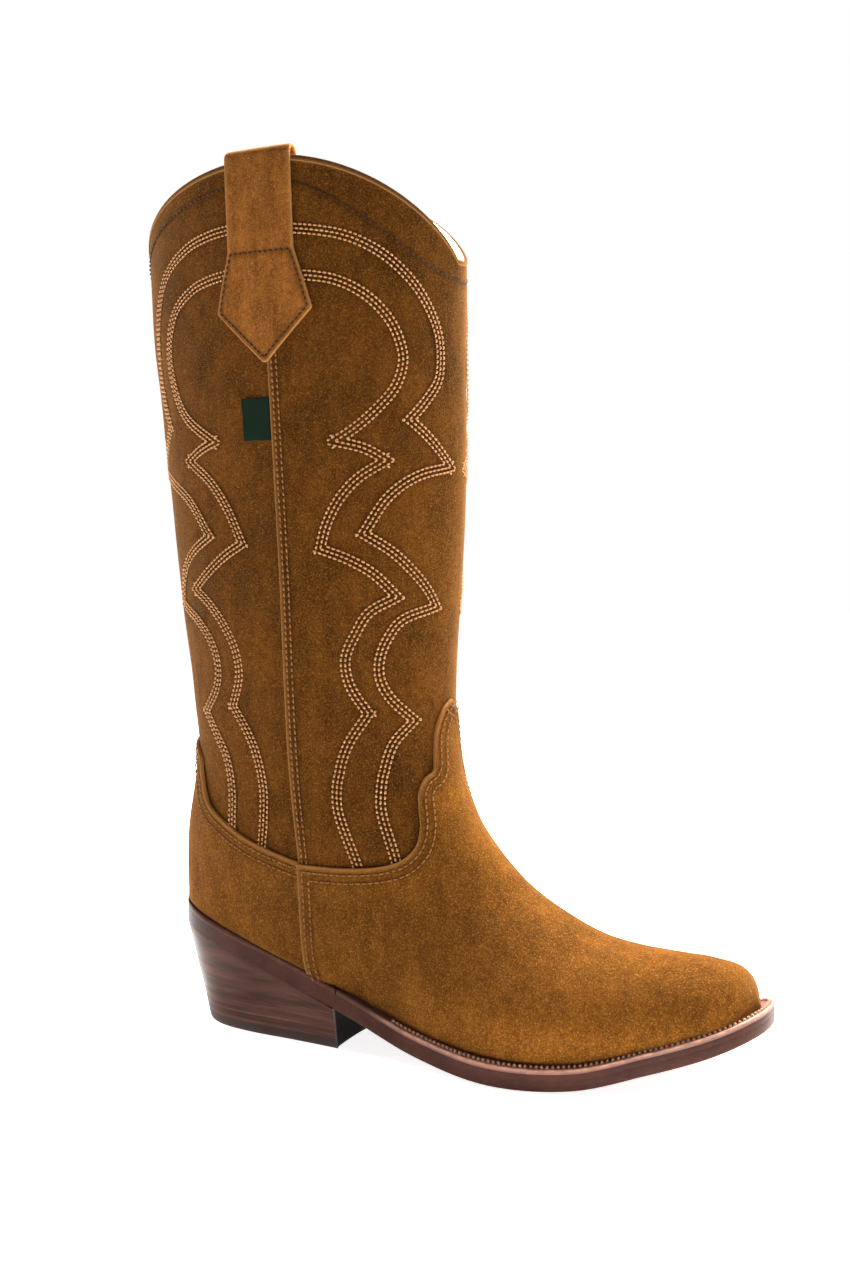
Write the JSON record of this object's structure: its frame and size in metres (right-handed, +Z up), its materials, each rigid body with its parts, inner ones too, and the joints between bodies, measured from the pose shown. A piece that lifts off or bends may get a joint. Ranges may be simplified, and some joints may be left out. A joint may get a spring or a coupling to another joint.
{
  "type": "cowboy boot",
  "caption": "Tall pull-on western boot in brushed suede with scalloped top, pull straps, pointed toe, welted leather sole and underslung stacked heel.",
  "frame": {"origin": "centre of the boot's footprint on the ground plane, under the middle of its overall length", "axes": "+Z up the shaft, +X towards the toe, -Y towards the outer side of the leg (right boot)"},
  "size_m": [0.2954, 0.1072, 0.3916],
  "materials": {
    "suede": "brushed suede nap, matte",
    "canvas": "plain woven canvas",
    "lining": "smooth tan leather",
    "stiffener": "pressed leather board",
    "board": "compressed fibre board",
    "steel": "spring steel",
    "cork": "granulated cork",
    "welt": "waxed strip leather",
    "sole_leather": "dark stained and polished edge",
    "heel_stack": "stacked leather, stained",
    "rubber": "dark moulded rubber",
    "tag": "woven green label, blank"
  },
  "bodies": {
    "boot": {"shaft_front_panel": "suede", "shaft_back_panel": "suede", "vamp": "suede", "counter": "suede", "shaft_front_interlining": "canvas", "shaft_front_lining": "lining", "shaft_back_lining": "lining", "vamp_interlining": "canvas", "toe_puff": "stiffener", "vamp_lining": "lining", "counter_stiffener": "stiffener", "insole_board": "board", "sock_liner": "lining", "shank": "steel", "bottom_filler": "cork", "welt": "welt", "heel_rand": "sole_leather", "midsole": "sole_leather", "outsole": "sole_leather", "heel_wedge_upper": "heel_stack", "heel_wedge_lower": "heel_stack", "heel_lift_upper": "heel_stack", "heel_lift_middle": "heel_stack", "heel_lift_lower": "heel_stack", "top_lift": "rubber", "pull_strap_outer": "suede", "pull_strap_inner": "suede"},
    "tag": {"side_tag": "tag"}
  },
  "joints": [
    {"name": "side_tag_flap", "type": "hinge", "parent": "boot", "child": "tag", "pos_m": [-0.0543, -0.0485, 0.2745], "axis": [-0.047, -0.03, 0.9984], "range_deg": [0, 120]}
  ]
}
